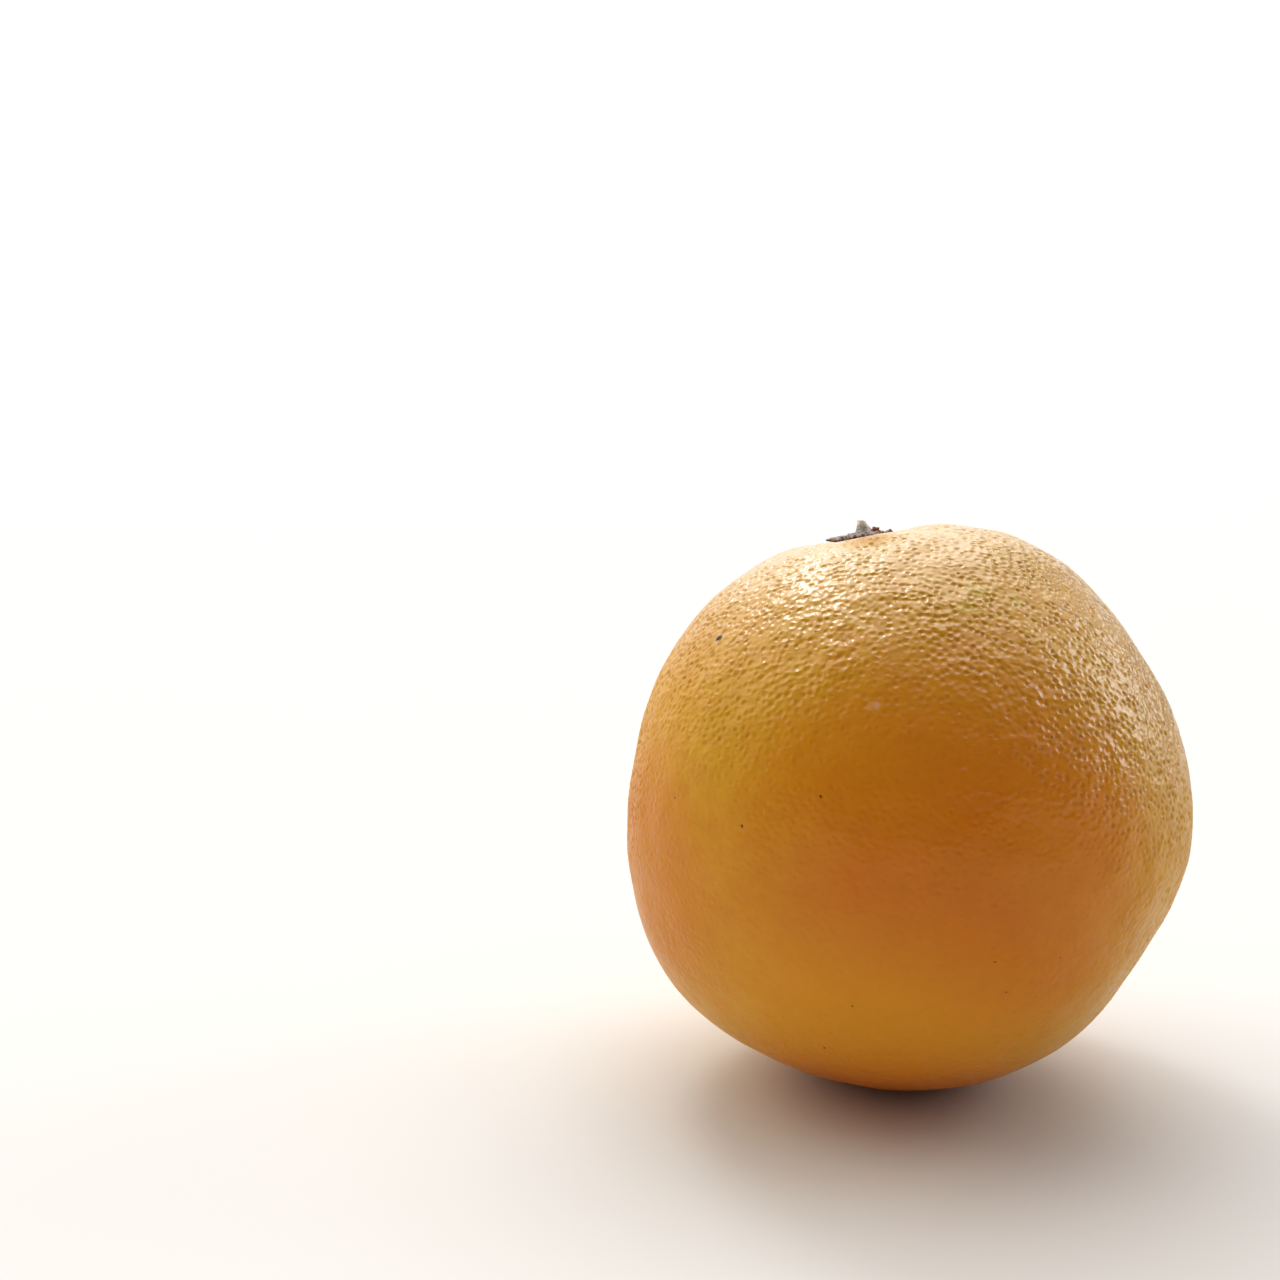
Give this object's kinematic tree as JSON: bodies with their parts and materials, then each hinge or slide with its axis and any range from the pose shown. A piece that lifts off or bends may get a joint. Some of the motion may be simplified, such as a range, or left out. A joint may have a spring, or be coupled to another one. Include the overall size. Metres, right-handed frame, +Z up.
{
  "type": "orange",
  "caption": "Whole sweet orange with pebbled peel, a dry star-shaped calyx and the stub of its stem, resting on a small flat spot.",
  "frame": {"origin": "on the surface that the fruit rests on, under the middle of the fruit", "axes": "+Z up from the resting surface. -Y towards a viewer, +X to the viewer's right. The stem end leans up, left and a little away."},
  "size_m": [0.0855, 0.0855, 0.0863],
  "materials": {
    "peel": "waxed orange peel, pitted over its oil glands, satin with small bright glints",
    "calyx": "dry, wrinkled and matt, grey-brown",
    "stem": "dry snapped wood, matt, grey-green with a pale broken end"
  },
  "bodies": {
    "root": {"fruit": "peel", "calyx": "calyx", "stem_stub": "stem"}
  },
  "joints": []
}
